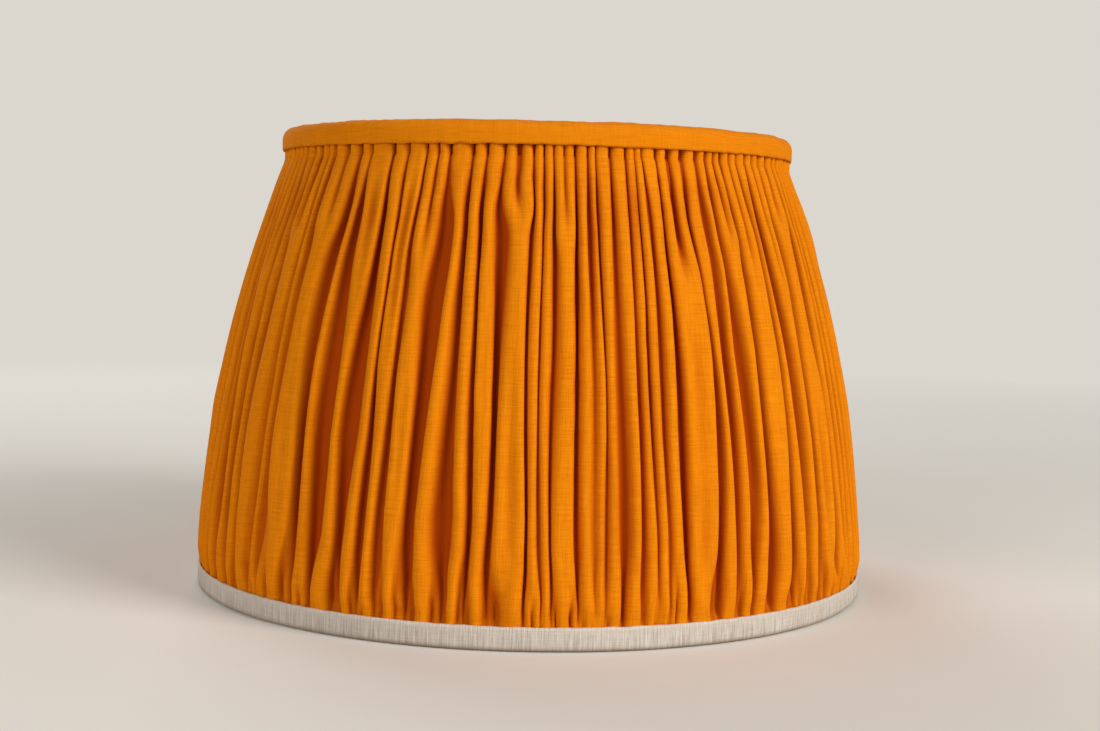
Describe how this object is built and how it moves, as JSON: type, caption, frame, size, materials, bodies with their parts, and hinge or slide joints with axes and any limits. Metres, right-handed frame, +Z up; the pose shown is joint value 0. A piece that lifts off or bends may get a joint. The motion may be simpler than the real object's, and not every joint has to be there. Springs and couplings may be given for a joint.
{
  "type": "lamp shade",
  "caption": "Gathered linen lamp shade on a bowed wire frame, with rolled top binding, flat bottom binding and a tilting gimbal fitter with reducer.",
  "frame": {"origin": "on the shade's axis, at the height of the bottom binding's lower face", "axes": "+Z up along the shade's axis; the gimbal's pivots lie along X; the cover's side seams are at +X and -X and -Y is the front"},
  "size_m": [0.35, 0.35, 0.235],
  "materials": {
    "coated_wire": "white powder coat on drawn wire",
    "coated_fitter": "white powder coat on pressed steel",
    "cotton_tape": "unbleached cotton tape",
    "gathered_linen": "mustard plain-weave linen, gathered",
    "mustard_binding": "mustard plain-weave linen, padded roll",
    "natural_binding": "undyed linen, flat, with slubs",
    "mustard_thread": "mustard sewing thread",
    "natural_thread": "natural sewing thread",
    "spring_steel": "zinc-plated spring steel",
    "white_plastic": "white heat-resistant plastic"
  },
  "bodies": {
    "shade": {"top_ring": "coated_wire", "bottom_ring": "coated_wire", "strut_1": "coated_wire", "strut_2": "coated_wire", "strut_3": "coated_wire", "strut_4": "coated_wire", "strut_5": "coated_wire", "strut_6": "coated_wire", "strut_7": "coated_wire", "strut_8": "coated_wire", "drop_arm_left": "coated_wire", "drop_arm_right": "coated_wire", "top_ring_tape": "cotton_tape", "bottom_ring_tape": "cotton_tape", "cover_front": "gathered_linen", "cover_back": "gathered_linen", "top_binding": "mustard_binding", "bottom_binding": "natural_binding", "top_binding_stitches": "mustard_thread", "bottom_binding_stitches": "natural_thread"},
    "fitter": {"gimbal_ring": "coated_fitter", "gimbal_arm_left": "coated_fitter", "gimbal_arm_right": "coated_fitter", "pivot_cap_left": "spring_steel", "pivot_cap_right": "spring_steel"},
    "reducer": {"reducer_ring": "white_plastic"}
  },
  "joints": [
    {"name": "fitter_tilt", "type": "hinge", "parent": "shade", "child": "fitter", "pos_m": [0, 0, 0.19], "axis": [1, 0, 0], "range_deg": [-25, 25]},
    {"name": "reducer_lift", "type": "slide", "parent": "fitter", "child": "reducer", "axis": [0, 0, 1], "range_m": [0, 0.07]}
  ]
}
